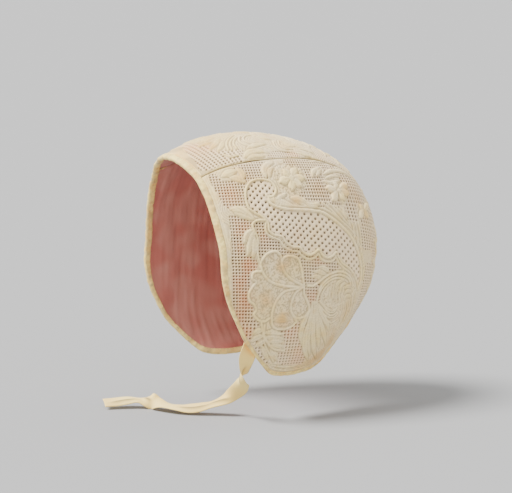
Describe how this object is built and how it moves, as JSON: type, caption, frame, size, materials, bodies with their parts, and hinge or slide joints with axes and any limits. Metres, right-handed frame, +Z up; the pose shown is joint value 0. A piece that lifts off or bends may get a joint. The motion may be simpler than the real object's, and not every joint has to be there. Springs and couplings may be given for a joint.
{
  "type": "baby cap",
  "caption": "Close-fitting baby cap with a crown strip between two side panels, ear lobes, a silk lining, ribbon bindings and one ribbon tie.",
  "frame": {"origin": "the head's seat, at the inside top of the crown", "axes": "+X to the wearer's left, the face looks along -Y, +Z up"},
  "size_m": [0.113, 0.1645, 0.1649],
  "materials": {
    "quilted_cotton": "cream corded and quilted cotton",
    "silk_lining": "rose silk",
    "ribbon": "cream silk ribbon"
  },
  "bodies": {
    "root": {"side_panel_left": "quilted_cotton", "side_panel_right": "quilted_cotton", "crown_strip": "quilted_cotton", "lining_left": "silk_lining", "lining_right": "silk_lining", "lining_crown": "silk_lining", "face_binding": "ribbon", "neck_binding": "ribbon", "tie_ribbon": "ribbon"}
  },
  "joints": []
}
